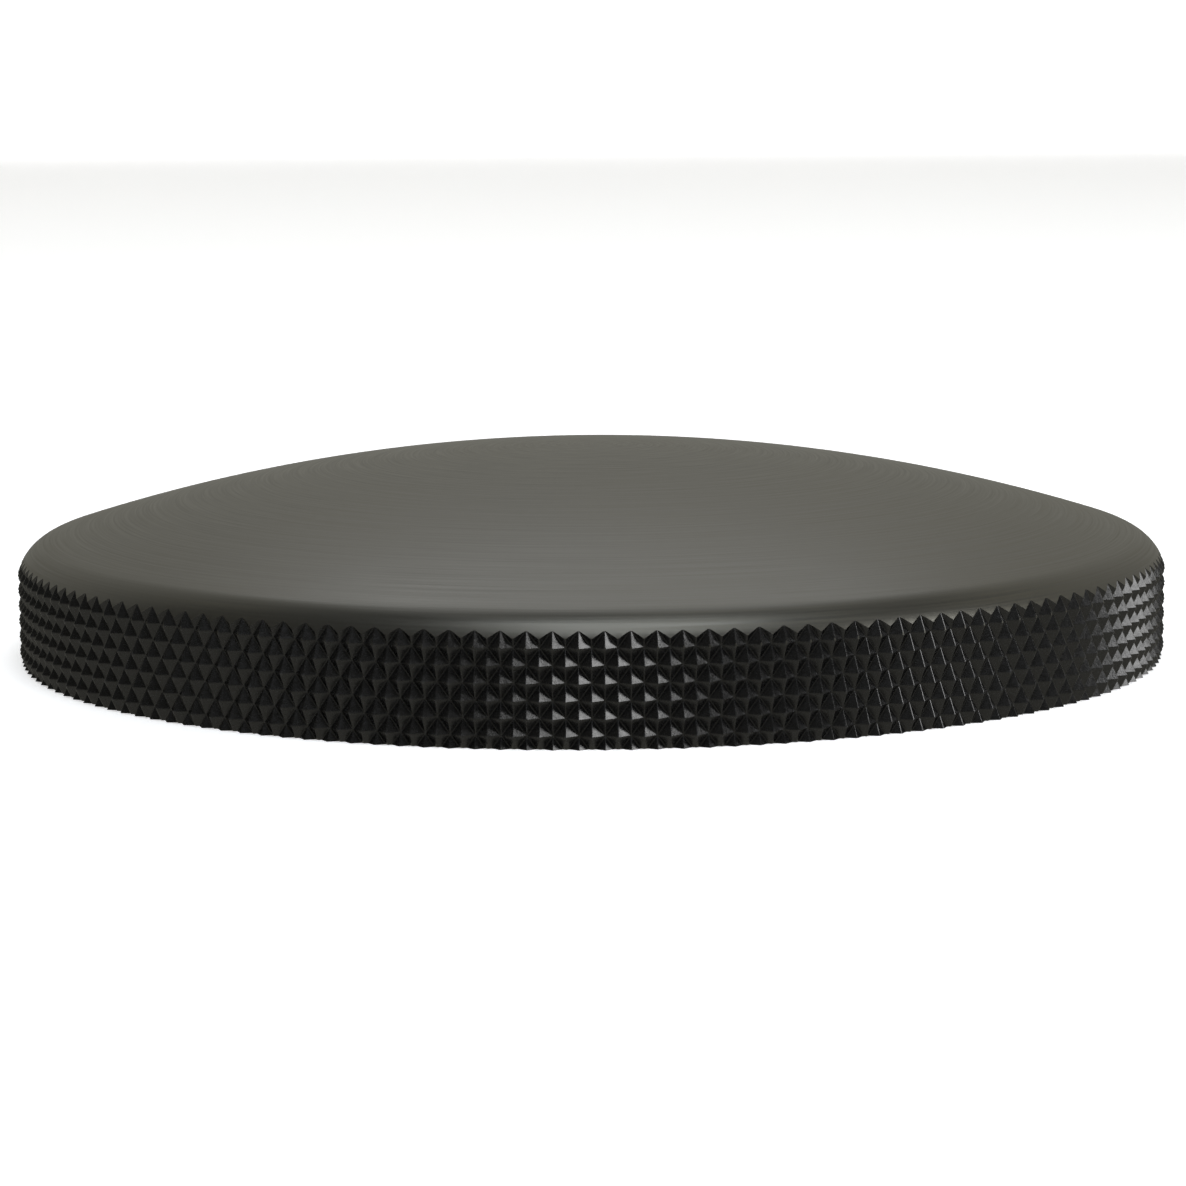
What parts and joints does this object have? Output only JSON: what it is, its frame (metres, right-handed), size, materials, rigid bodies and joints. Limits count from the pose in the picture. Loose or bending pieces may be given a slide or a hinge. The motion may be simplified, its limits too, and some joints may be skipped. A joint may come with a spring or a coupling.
{
  "type": "domed filler cap",
  "caption": "Low domed round cap with a diamond-knurled rim that locks on a filler neck with two lugs, with a sprung swivelling seal and a ball vent under the dome.",
  "frame": {"origin": "centre of the rim's bottom plane, where the cap stands on a table", "axes": "+Z is the cap's turning axis and points up through the dome. +X points at a ring screw, and the lugs lie along +Y and -Y. The picture looks along +Y."},
  "size_m": [0.0762, 0.0762, 0.0135],
  "materials": {
    "anodised_shell": "black anodised over a fine turned finish, satin",
    "lug_ring_steel": "satin",
    "post_brass": "turned, satin",
    "o_ring_rubber": "matte",
    "post_washer_plastic": "matte",
    "carrier_steel": "satin",
    "seal_rubber": "matte",
    "retainer_aluminium": "turned, satin",
    "thrust_washer_plastic": "matte",
    "spring_steel": "satin",
    "ball_steel": "polished",
    "vent_spring_steel": "satin",
    "filter_bronze": "sintered, matte",
    "plug_brass": "turned, satin",
    "screw_steel": "satin"
  },
  "bodies": {
    "shell": {"cap_shell": "anodised_shell", "lug_ring": "lug_ring_steel", "ring_screw_1": "screw_steel", "ring_screw_2": "screw_steel", "ring_screw_3": "screw_steel", "ring_screw_4": "screw_steel", "ring_screw_5": "screw_steel", "ring_screw_6": "screw_steel", "centre_post": "post_brass", "post_o_ring": "o_ring_rubber", "post_washer": "post_washer_plastic", "wave_spring": "spring_steel", "vent_spring": "vent_spring_steel", "vent_filter": "filter_bronze", "vent_plug": "plug_brass"},
    "thrust_washer": {"thrust_washer": "thrust_washer_plastic"},
    "seal_unit": {"seal_carrier": "carrier_steel", "neck_seal": "seal_rubber", "seal_retainer": "retainer_aluminium", "retainer_screw_1": "screw_steel", "retainer_screw_2": "screw_steel", "retainer_screw_3": "screw_steel", "retainer_screw_4": "screw_steel"},
    "vent_ball": {"vent_ball": "ball_steel"}
  },
  "joints": [
    {"name": "seal_slide", "type": "slide", "parent": "shell", "child": "thrust_washer", "axis": [0, 0, 1], "range_m": [0, 0.001], "stiffness_N_per_m": 9000, "springref_m": -0.0006, "deforming": ["wave_spring"]},
    {"name": "seal_swivel", "type": "hinge", "parent": "thrust_washer", "child": "seal_unit", "pos_m": [0, 0, 0.005], "axis": [0, 0, 1], "continuous": true},
    {"name": "vent_slide", "type": "slide", "parent": "shell", "child": "vent_ball", "axis": [0, 0, -1], "range_m": [0, 0.0007], "stiffness_N_per_m": 150, "springref_m": -0.0004, "deforming": ["vent_spring"]}
  ]
}
